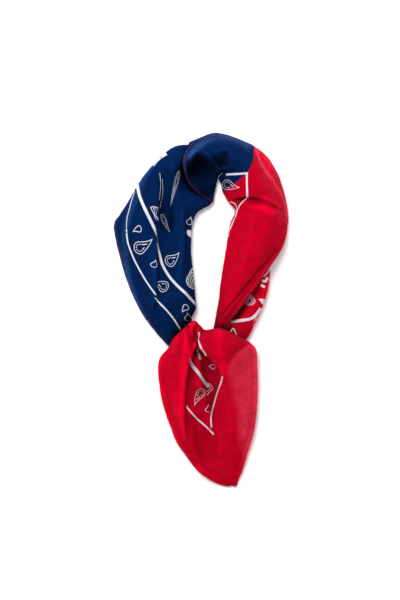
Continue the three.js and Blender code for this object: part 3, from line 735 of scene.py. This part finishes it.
def printed_cotton():
    """Plain-woven cotton, dyed navy or red in the piece and screen-printed in white: a matt face
    with a faint bloom where it turns from the eye, and ink that lets a little of the dye through,
    with shade painted in its folds and highlights painted on its ridges and lit edges."""
    material, tree, shader = new_material(
        "printed_cotton_plain_weave", {**MATT, "Sheen Weight": 0.01, "Sheen Roughness": 0.5})

    def maths(operation, *inputs):
        return add(tree, "Math", *inputs, operation=operation).outputs[0]

    def times(a, b):
        return maths("MULTIPLY", a, b)

    def plus(a, b):
        return maths("ADD", a, b)

    def step_down(value, edge, soft):
        return add(tree, "MapRange", value, edge - soft, edge + soft, 1.0, 0.0).outputs[0]

    def band(value, middle, half, soft):
        return step_down(maths("ABSOLUTE", maths("SUBTRACT", value, middle)), half, soft)

    def mixed(factor, first, second):
        unused = [None] * 5  # the sockets for mixing numbers and vectors
        return add(tree, "Mix", factor, *unused, first, second, data_type="RGBA").outputs[2]

    def marked(name, output="Fac"):
        return add(tree, "Attribute", attribute_name=name).outputs[output]

    def parts_of(vector):
        return add(tree, "SeparateXYZ", vector).outputs

    # Real threads are 0.3 mm apart, too fine to show here, so they are drawn 0.9 mm apart.
    thread_turn = 2 * math.pi / 0.9
    weave = add(tree, "UVMap", uv_map="weave").outputs[0]
    across, along, _ = parts_of(weave)
    warp, weft = (maths("SINE", times(run, thread_turn)) for run in (across, along))
    checks = times(warp, weft)

    def threads(scale):
        stretched = add(tree, "VectorMath", weave, scale, operation="MULTIPLY").outputs[0]
        return add(tree, "TexNoise", stretched, None, 1.0, 2.0).outputs[0]

    slub = plus(threads((0.9, 0.1, 1)), threads((0.1, 0.9, 1)))
    grain = add(tree, "TexNoise", weave, None, 0.7, 2.0).outputs[0]
    wash = add(tree, "TexNoise", weave, None, 0.05, 3.0).outputs[0]

    # The ink's edge wavers a little with the threads under it.
    waver = times(maths("SUBTRACT", grain, 0.5), 0.5)
    side, ends, dye_side = parts_of(marked("print_lines", "Vector"))
    stroke = step_down(plus(maths("ABSOLUTE", side), waver), 1.0, 0.12)
    stroke = times(stroke, maths("GREATER_THAN", ends, 0.0))
    spot_x, spot_y, kind = parts_of(marked("print_motif", "Vector"))

    # A paisley drop: a round bowl that narrows to a tip one unit from the middle, bent over.
    bowl_radius, tip_high = 0.55, 1.45
    lean, upright = bowl_radius / tip_high, math.sqrt(1 - (bowl_radius / tip_high) ** 2)
    bend = times(maths("POWER", maths("MAXIMUM", spot_y, 0.0), 2.0), 0.28)
    centred = maths("SUBTRACT", spot_x, bend)
    drop_x = maths("ABSOLUTE", centred)
    drop_y = plus(spot_y, 0.45)
    flank = maths("SUBTRACT", plus(times(drop_x, upright), times(drop_y, lean)), bowl_radius)
    radius = maths("SQRT", plus(maths("POWER", drop_x, 2.0), maths("POWER", drop_y, 2.0)))
    bowl = maths("SUBTRACT", radius, bowl_radius)
    above = maths("GREATER_THAN", times(drop_y, upright), times(drop_x, lean))
    inside = add(tree, "Mix", above, None, bowl, flank).outputs[0]
    angle = maths("ARCTAN2", centred, drop_y)

    def broken(count, filled):
        turns = maths("FRACT", times(angle, count / (2 * math.pi)))
        return maths("LESS_THAN", turns, filled)

    def either(*parts):
        whole = parts[0]
        for part in parts[1:]:
            whole = maths("MAXIMUM", whole, part)
        return whole

    small = band(inside, -0.09, 0.055, 0.03)
    medium = either(band(inside, -0.03, 0.028, 0.01),
                    times(band(inside, -0.25, 0.034, 0.01), broken(8, 0.6)))
    large = either(band(inside, -0.03, 0.022, 0.01),
                   times(band(inside, -0.12, 0.032, 0.012), broken(26, 0.55)),
                   times(band(inside, -0.23, 0.032, 0.012), broken(20, 0.55)),
                   band(inside, -0.34, 0.022, 0.01))
    solid = step_down(inside, -0.02, 0.03)
    motif = either(*[times(shape, band(kind, number, 0.4, 0.1))
                     for number, shape in ((1.0, small), (2.0, medium), (3.0, large), (4.0, solid))])
    ink = times(either(motif, stroke), plus(0.78, times(grain, 0.24)))

    red_side = add(tree, "MapRange", plus(dye_side, waver), -0.3, 0.3, 0.0, 1.0).outputs[0]
    # Painted highlight: the dye is mixed towards its lighter copy where the highlight lines mark it.
    painted_highlight = times(marked("painted_highlight"), plus(-0.25, times(plus(grain, wash), 0.75)))
    navy = mixed(painted_highlight, linear(NAVY), linear(PAINTED_LIGHT_NAVY))
    dye = mixed(red_side, navy, mixed(painted_highlight, linear(RED), linear(PAINTED_LIGHT_RED)))
    shade = plus(times(slub, 0.22), times(wash, 0.35))
    shade = plus(shade, times(grain, 0.35))
    shade = plus(plus(shade, times(checks, 0.05)), 0.43)
    # Painted shade: the dye is darkened deep in the folds. Painted highlight: it is lightened on the
    # ridges.
    deep = marked("depth_in_folds")
    painted_fold_shade = add(tree, "MapRange", deep, 0.02, 0.52, 1.0, 0.03).outputs[0]
    painted_ridge_highlight = plus(0.96, times(marked("ridge"), 0.6))
    shade = times(times(shade, painted_fold_shade), painted_ridge_highlight)
    # Painted shade: the white print is darkened deep in the folds too.
    printed = scaled(tree, linear(INK_WHITE)[:3], maths("POWER", maths("SUBTRACT", 1.0, deep), 2.0))
    tree.links.new(mixed(ink, scaled(tree, dye, shade), printed), shader.inputs["Base Color"])
    height = plus(times(checks, 0.3), plus(slub, grain))
    bump = add(tree, "Bump", 0.5, 0.00025, None, height)
    tree.links.new(bump.outputs[0], shader.inputs["Normal"])
    return material


def dyed_cotton(name, colour):
    """The same plain-woven cotton with no print, dyed in the piece: matt, with a faint thread grain."""
    material, tree, shader = new_material(name, MATT)
    grain, shade = thread_grain(tree, 900.0, 3.0, 0.8, 1.1)
    tree.links.new(scaled(tree, linear(colour)[:3], shade), shader.inputs["Base Color"])
    bump = add(tree, "Bump", 0.3, 0.0002, None, grain)
    tree.links.new(bump.outputs[0], shader.inputs["Normal"])
    return material


def sewing_thread():
    """Spun polyester sewing thread, twisted: a slight shine, with light and dark along the twist."""
    material, tree, shader = new_material(
        "red_polyester_sewing_thread", {"Roughness": 0.6, "Specular IOR Level": 0.3})
    _, shade = thread_grain(tree, 1400.0, 1.0, 0.75, 1.15)
    # Painted shade: the thread is darkened deep in the folds.
    deep = add(tree, "Attribute", attribute_name="depth_in_folds").outputs["Fac"]
    bare = add(tree, "Math", 1.0, deep, operation="SUBTRACT").outputs[0]
    painted_fold_shade = add(tree, "Math", bare, 3.0, operation="POWER").outputs[0]
    shade = add(tree, "Math", shade, painted_fold_shade, operation="MULTIPLY").outputs[0]
    tree.links.new(scaled(tree, linear(THREAD_RED)[:3], shade), shader.inputs["Base Color"])
    return material


# The stretches from the top layer down. under: how many of those before it may lie over it. hems:
# the edge, and between which shares of the stretch's length the hem runs. fold_shade_strength: how
# strongly the painted shade darkens the cloth deep in its folds. size, area: the cloth's cut, in
# metres. layers: the rolled layers that it lies on. holds: whether they go with it.
STRETCHES = {
    "knot_and_tail_cloth": dict(
        table=TAIL, folds=TAIL_FOLDS, painted_highlight=TAIL_PAINTED_HIGHLIGHTS, ink=TAIL_INK, motifs=TAIL_MOTIFS, dye="red",
        hems=[("b", 0.1, 1.05), ("a", 0.66, 1.05)], seed=17.9, fold_shade_strength=0.8, under=0,
        nodes=("knot_wrap", "tail"), slot="red_cotton", size=(0.113, 0.158), area=0.0147,
        layers=["knot_layers", "navy_corner_under_tail"], holds=True),
    "crown_and_right_cloth": dict(
        table=CROWN_AND_RIGHT, folds=CROWN_FOLDS, painted_highlight=CROWN_PAINTED_HIGHLIGHTS, ink=CROWN_INK,
        motifs=CROWN_MOTIFS, dye=None, hems=[("a", -0.05, 1.05), ("mouth", -0.05, 1.05)], seed=7.7,
        fold_shade_strength=1.0, under=1, nodes=("crown_stretch", "right_stretch"),
        slot="red_cotton", size=(0.088, 0.217), area=0.0154, layers=["right_rolled_layers"],
        holds=True),
    "left_cloth": dict(
        table=LEFT, folds=LEFT_FOLDS, painted_highlight=LEFT_PAINTED_HIGHLIGHTS, ink=LEFT_INK, motifs=LEFT_MOTIFS, dye="navy",
        hems=[("a", 0.5, 1.05)], seed=3.1, fold_shade_strength=1.2, under=2, nodes=("left_stretch",),
        slot="navy_cotton", size=(0.098, 0.191), area=0.016, layers=["left_rolled_layers"],
        holds=True),
    "right_under_cloth": dict(
        table=UNDER, folds=UNDER_FOLDS, painted_highlight=(), ink=UNDER_INK, motifs=UNDER_MOTIFS, dye="red",
        hems=[], seed=11.3, fold_shade_strength=0.5, under=2, nodes=("right_under",), slot="red_cotton",
        size=(0.054, 0.098), area=0.004,
        layers=["right_rolled_layers"], holds=False),
}


def ready(piece, material, slot, *nodes):
    """Gives a finished piece its material, the body it rides on and what it stands for."""
    piece.data.materials.clear()
    piece.data.materials.append(material)
    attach(piece, "root")
    if nodes:
        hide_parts(*nodes)


cotton = printed_cotton()
cloths, pieces = {}, {}
for name, s in STRETCHES.items():
    covers = [cloth["tree"] for cloth in list(cloths.values())[:s["under"]]]
    cloths[name] = lay_cloth(name, s["table"], s["folds"], s["hems"], s["seed"], covers)
all_points, all_faces = [], []
for cloth in cloths.values():
    start = len(all_points)
    all_points += cloth["grid"].reshape(-1, 3).tolist()
    all_faces += [tuple(start + i for i in face) for face in grid_faces(*cloth["grid"].shape[:2])]
everything = BVHTree.FromPolygons(all_points, all_faces)
for name, s in STRETCHES.items():
    deep, ridge = depth_in_folds(cloths[name], everything)
    # Painted shade: the fold depth, scaled for each stretch, later darkens its dye and print.
    deep = np.minimum(deep * s["fold_shade_strength"], 0.95)
    cloths[name]["deep"] = deep
    pieces[name] = sew(cloths[name], s, deep, ridge)
    ready(pieces[name], cotton, s["slot"], *s["nodes"])


def point_along(line, distance):
    """The point this far along a line of points on the cloth, as seen from above."""
    seen = lengths_along(line[:, :2])
    return [np.interp(distance, seen, line[:, k]) for k in range(3)]


def hem_line(cloth, edge, first, last, inset, mouth):
    """A line of points on the cloth, inset from its hemmed edge, round the mouth too if asked."""
    grid = cloth["grid"][::-1] if cloth["turned"] else cloth["grid"]
    edge_a, edge_b = cloth["edges"]
    rings = grid[int(first * len(grid)):int(last * len(grid))]
    points = [point_along(ring[edge_a:] if edge == "a" else ring[edge_b::-1], inset) for ring in rings]
    if mouth:
        rounding = 7
        columns = range(edge_b - 3, edge_a + rounding, -1)
        points = [point_along(grid[:, c], inset) for c in columns] + points[rounding:]
    line = np.array(points)
    for _ in range(6):
        line[1:-1] = (line[:-2] + 2 * line[1:-1] + line[2:]) / 4
    return line


def tube(path, radius, sides=5):
    """Rings of points round a path, closing to a point at both ends."""
    path = np.array(path, float)
    ahead = np.gradient(path, axis=0)
    ahead /= np.maximum(1e-9, norm(ahead, axis=1, keepdims=True))
    across = np.cross(ahead, (0.0, 0.0, 1.0)) + np.array([1e-6, 0, 0])
    across /= norm(across, axis=1, keepdims=True)
    up = np.cross(across, ahead)
    angles = np.arange(sides) * 2 * math.pi / sides
    blunt = 0.12
    swell = np.sin(np.linspace(blunt, 1 - blunt, len(path)) * math.pi) ** 0.5
    rings = [(path[k] + radius * swell[k] * (math.cos(a) * across[k] + math.sin(a) * up[k]))
             for k in range(len(path)) for a in angles]
    last = (len(path) - 1) * sides
    faces = [(k + i, k + (i + 1) % sides, k + sides + (i + 1) % sides, k + sides + i)
             for k in range(0, last, sides) for i in range(sides)]
    return rings, faces + [tuple(range(sides))[::-1], tuple(last + i for i in range(sides))]


def joined(name, shapes):
    """One mesh of many small shapes."""
    points, faces = [], []
    for shape_points, shape_faces in shapes:
        start = len(points)
        points += [tuple(np.array(p) * MM) for p in shape_points]
        faces += [tuple(start + i for i in f) for f in shape_faces]
    mesh = bpy.data.meshes.new(name)
    mesh.from_pydata(points, [], faces)
    mesh.validate()
    mesh.shade_smooth()
    return placed(name, mesh)


STITCH = {"pitch": 2.4, "long": 2.0, "radius": 0.18}


def stitches(line):
    """A row of sewing along a line: threads that dip into the cloth at both ends."""
    arc = lengths_along(line)
    out = []
    for k in range(int(arc[-1] / STITCH["pitch"])):
        s = k * STITCH["pitch"] + np.linspace(0, STITCH["long"], 5)
        path = np.column_stack([np.interp(s, arc, line[:, c]) for c in range(3)])
        path[:, 2] += THICK / 2 + np.array([-0.25, 0.12, 0.2, 0.12, -0.25])
        out.append(tube(path, STITCH["radius"]))
    return out


def mark_depth(piece, under):
    """Gives sewing the painted shade of the fold that it lies in."""
    points = np.vstack([cloth["grid"].reshape(-1, 3) for cloth in under])
    values = np.concatenate([cloth["deep"].ravel() for cloth in under])
    nearest = KDTree(len(points))
    for k, p in enumerate(points):
        nearest.insert(p, k)
    nearest.balance()
    deep = [values[nearest.find(vertex.co / MM)[1]] for vertex in piece.data.vertices]
    mark_points(piece.data, "depth_in_folds", deep)


thread = sewing_thread()
# The seams of each piece of sewing: the cloth, its edge, between which shares of its length, how
# far in from the edge each row runs, and whether it runs on round the mouth.
SEWN = {
    "crown_and_right_hem_stitches": [("crown_and_right_cloth", "a", 0, 1, (0.9, 2.3), True)],
    "left_hem_stitches": [("left_cloth", "a", 0.5, 0.86, (1.0,), False)],
    "tail_hem_stitches": [("knot_and_tail_cloth", "b", 0.2, 0.97, (1.0,), False),
                          ("knot_and_tail_cloth", "a", 0.7, 0.97, (1.0,), False)],
}
for name, seams in SEWN.items():
    rows = []
    for cloth, edge, first, last, insets, mouth in seams:
        for inset in insets:
            rows += stitches(hem_line(cloths[cloth], edge, first, last, inset, mouth))
    seam = joined(name, rows)
    mark_depth(seam, [cloths[cloth] for cloth, *_ in seams])
    ready(seam, thread, "red_cotton")

# The ends of the hem's thread, left long at the corner where the two dyes meet.
corner = np.array([*from_pixel((257.5, 149.5)), 5.0])
ends = [tube(corner + np.array(run), 0.2, 6) for run in (
    [(-1, -1, 0), (0, 0.4, 0.6), (0.6, 1.6, 0.4), (1.6, 2.4, -0.6), (1.2, 3.2, -1.6)],
    [(0, -1, 0), (1.4, 0.2, 0.4), (2.6, 0.2, -0.6), (3.2, -0.8, -1.6)])]
ready(joined("hem_thread_ends", ends), thread, "red_cotton")


def rolled_core(name, node, slot, bare, covers):
    """The layers hidden in a stretch: its solid's form with soft edges, inside the cloth over it.
    bare: the height it keeps to where no cloth lies over it."""
    core = placed(name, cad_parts[node].data.copy())
    bpy.ops.object.select_all(action="DESELECT")
    bpy.context.view_layer.objects.active = core
    core.select_set(True)
    remesh = core.modifiers.new("layers", "REMESH")
    remesh.mode = "VOXEL"
    remesh.voxel_size = 1.2 * MM
    soft = core.modifiers.new("soft", "SMOOTH")
    soft.iterations = 3
    soft.factor = 0.5
    for modifier in ("layers", "soft"):
        bpy.ops.object.modifier_apply(modifier=modifier)
    trees = [cloths[cover]["tree"] for cover in covers]
    for vertex in core.data.vertices:
        p = vertex.co / MM
        for tree in trees:
            near, normal, _, _ = tree.find_nearest(p, CORE_REACH)
            if near is not None and normal.z > -0.2:  # cloth tucked under the layers faces down
                p = p - normal * max(0.0, (p - near).dot(normal) + CORE_GAP)
        hits = [cloth_under(tree, p.x, p.y) for tree in trees]
        tops = [hit.z - CORE_GAP for hit in hits if hit is not None]
        p.z = max(min(p.z, *tops) if tops else min(p.z, bare), OFF_FLOOR)
        vertex.co = p * MM
    core.data.shade_smooth()
    ready(core, lining[slot], slot, node)
    return core


lining = {"navy_cotton": dyed_cotton("navy_cotton_inner_layers", NAVY),
          "red_cotton": dyed_cotton("red_cotton_inner_layers", RED)}
over_all = ("crown_and_right_cloth", "knot_and_tail_cloth")
cores = {row[0]: rolled_core(*row) for row in (
    ("left_rolled_layers", "left_core", "navy_cotton", 2.0, ("left_cloth", *over_all)),
    ("right_rolled_layers", "right_core", "red_cotton", 2.0, ("right_under_cloth", *over_all)),
    ("knot_layers", "knot_core", "red_cotton", 30.0, ("knot_and_tail_cloth",)),
    ("navy_corner_under_tail", "under_corner", "navy_cotton", 2.0, ("knot_and_tail_cloth",)))}

# The pale surface, the soft light from the page's upper left, and the camera straight above.
bpy.ops.mesh.primitive_plane_add(size=6, location=(0, 0, 0))
floor = bpy.context.object
floor.name = "floor"
# Matt white paper that gives back a little of the light around it.
paper, _, _ = new_material("white_backdrop_paper", {
    "Base Color": linear("#f6f4f4"), "Roughness": 0.95,
    "Emission Color": (1, 1, 1, 1), "Emission Strength": 0.07})
floor.data.materials.append(paper)

lamp = bpy.data.lights.new("window_light", "AREA")
lamp.size = 0.8
lamp.energy = 27
window = placed("window_light", lamp)
window.location = (-0.45, 1.0, 1.25)
window.rotation_euler = (-window.location).to_track_quat("-Z", "Y").to_euler()
world = bpy.data.worlds.new("studio")
world.use_nodes = True
sky = world.node_tree.nodes["Background"].inputs
sky["Color"].default_value = (1, 1, 1, 1)
sky["Strength"].default_value = 0.62
bpy.context.scene.world = world
bpy.context.scene.view_settings.view_transform = "Standard"

CAMERA_HEIGHT = 1.5
camera = bpy.data.cameras.new("camera")
camera.sensor_width = 36
camera.lens = camera.sensor_width * CAMERA_HEIGHT / (PAGE[1] * MM_PER_PIXEL * MM)
eye = placed("camera", camera)
middle_x, middle_y = from_pixel((PAGE[0] / 2, PAGE[1] / 2))
eye.location = (middle_x * MM, middle_y * MM, CAMERA_HEIGHT)
bpy.context.scene.camera = eye
